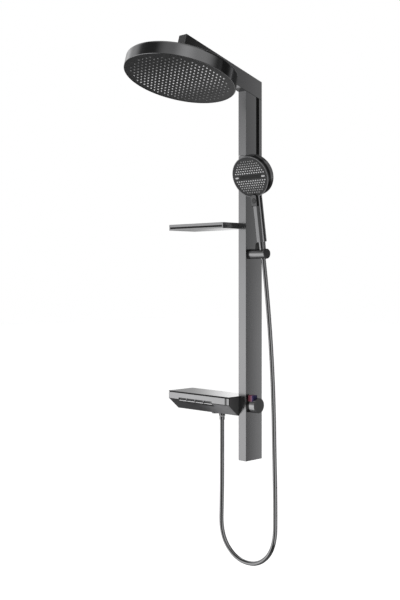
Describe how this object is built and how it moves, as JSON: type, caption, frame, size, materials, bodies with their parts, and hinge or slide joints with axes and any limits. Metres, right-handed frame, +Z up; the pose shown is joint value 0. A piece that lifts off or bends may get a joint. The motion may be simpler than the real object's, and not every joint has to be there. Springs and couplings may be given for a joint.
{
  "type": "rainfall shower column",
  "caption": "Wall-mounted rain shower column: leaning arm with round tilting head, shelf, control tablet with push keys, side knob, hand shower on a tilting holder and hose.",
  "frame": {"origin": "on the wall plane at the column's centre, level with the thermostat and the two inlets", "axes": "+Z up, +Y into the wall, the front faces -Y, +X to the right seen from the front"},
  "size_m": [0.489, 0.5581, 1.7372],
  "materials": {
    "graphite_column": "satin brushed graphite",
    "black_insert": "matt black",
    "graphite_arm": "satin brushed graphite",
    "dark_plastic": "satin black",
    "steel_bracket": "plain",
    "copper_pipe": "drawn copper",
    "brass": "machined",
    "graphite_trim": "satin graphite",
    "head_metal": "satin brushed graphite",
    "spray_black": "semi gloss dark",
    "nozzle_rubber": "soft grey",
    "chamber_plastic": "moulded",
    "tablet_metal": "satin brushed graphite, mirror like at a low angle",
    "tablet_front": "brushed light graphite",
    "tablet_shell": "satin dark",
    "key_gloss": "satin",
    "knob_metal": "satin",
    "knob_end": "satin dark",
    "safety_gloss": "gloss red to blue",
    "shelf_metal": "satin brushed",
    "shelf_black": "matt black",
    "hand_metal": "satin graphite",
    "hose_cover": "smooth silvery grey sheath"
  },
  "bodies": {
    "column": {"column_lower": "graphite_column", "column_upper": "graphite_column", "slot_strips": "black_insert", "column_end_cap": "dark_plastic", "column_joiner": "black_insert", "wall_brackets": "steel_bracket", "riser_pipe": "copper_pipe", "riser_elbow": "brass", "arm_shell": "graphite_arm", "arm_end_cap": "black_insert", "arm_tube": "copper_pipe", "head_neck": "graphite_trim", "tablet_body": "tablet_shell", "tablet_plate": "tablet_metal", "tablet_front_trim": "tablet_front", "tablet_end_left": "tablet_shell", "tablet_end_right": "tablet_shell", "valve_body": "brass", "thermostat_cartridge": "brass", "inlet_unions": "brass", "escutcheons": "graphite_trim", "outlet_nipple": "brass", "filter_cap": "dark_plastic", "knob_collar": "graphite_trim", "shelf_top_plate": "shelf_metal", "shelf_core": "shelf_black", "shelf_base_plate": "shelf_metal", "holder_base": "graphite_trim", "outlet_nut": "graphite_trim", "hose": "hose_cover"},
    "head_seat": {"ball_seat": "dark_plastic"},
    "head": {"ball_nut": "graphite_trim", "head_shell": "head_metal", "spray_face": "spray_black", "nozzle_mat": "nozzle_rubber", "water_chamber": "chamber_plastic"},
    "knob": {"thermostat_knob": "knob_metal", "knob_cap": "knob_end", "knob_spindle": "brass"},
    "safety": {"safety_button": "safety_gloss"},
    "key_a": {"key_1": "key_gloss"},
    "key_b": {"key_2": "key_gloss"},
    "key_c": {"key_3": "key_gloss"},
    "key_d": {"key_4": "key_gloss"},
    "holder": {"holder_barrel": "graphite_trim", "holder_liner": "dark_plastic", "holder_cap": "dark_plastic"},
    "hand_shower": {"cone_nut": "graphite_trim", "handle_core": "dark_plastic", "handle_back": "hand_metal", "handle_front": "hand_metal", "handle_neck": "hand_metal", "back_studs": "dark_plastic", "hand_head": "hand_metal", "hand_face": "spray_black", "spray_bar": "dark_plastic", "hand_chamber": "chamber_plastic"},
    "select": {"spray_button": "hand_metal"}
  },
  "joints": [
    {"name": "head_pitch", "type": "hinge", "parent": "column", "child": "head_seat", "pos_m": [0, -0.35548, 1.10673], "axis": [1, 0, 0], "range_deg": [-10, 10]},
    {"name": "head_roll", "type": "hinge", "parent": "head_seat", "child": "head", "pos_m": [0, -0.35548, 1.10673], "axis": [0, -0.9613, 0.2756], "range_deg": [-10, 10]},
    {"name": "knob_turn", "type": "hinge", "parent": "column", "child": "knob", "pos_m": [0.022, -0.058, 0], "axis": [1, 0, 0], "range_deg": [-90, 90]},
    {"name": "safety_press", "type": "slide", "parent": "knob", "child": "safety", "axis": [0, 0, -1], "range_m": [0, 0.003], "stiffness_N_per_m": 900, "springref_m": -0.003},
    {"name": "key_a_press", "type": "slide", "parent": "column", "child": "key_a", "axis": [0, 0.6424, 0.7663], "range_m": [0, 0.0025], "stiffness_N_per_m": 600, "springref_m": -0.003},
    {"name": "key_b_press", "type": "slide", "parent": "column", "child": "key_b", "axis": [0, 0.6424, 0.7663], "range_m": [0, 0.0025], "stiffness_N_per_m": 600, "springref_m": -0.003},
    {"name": "key_c_press", "type": "slide", "parent": "column", "child": "key_c", "axis": [0, 0.6424, 0.7663], "range_m": [0, 0.0025], "stiffness_N_per_m": 600, "springref_m": -0.003},
    {"name": "key_d_press", "type": "slide", "parent": "column", "child": "key_d", "axis": [0, 0.6424, 0.7663], "range_m": [0, 0.0025], "stiffness_N_per_m": 600, "springref_m": -0.003},
    {"name": "holder_tilt", "type": "hinge", "parent": "column", "child": "holder", "pos_m": [0.03, -0.0575, 0.507], "axis": [1, 0, 0], "range_deg": [0, 30], "deforming": ["hose"]},
    {"name": "hand_lift", "type": "slide", "parent": "holder", "child": "hand_shower", "axis": [0, -0.1564, 0.9877], "range_m": [0, 0.12]},
    {"name": "spray_press", "type": "slide", "parent": "hand_shower", "child": "select", "axis": [-0.1219, 0.9803, 0.1553], "range_m": [0, 0.002], "stiffness_N_per_m": 700, "springref_m": -0.003}
  ]
}
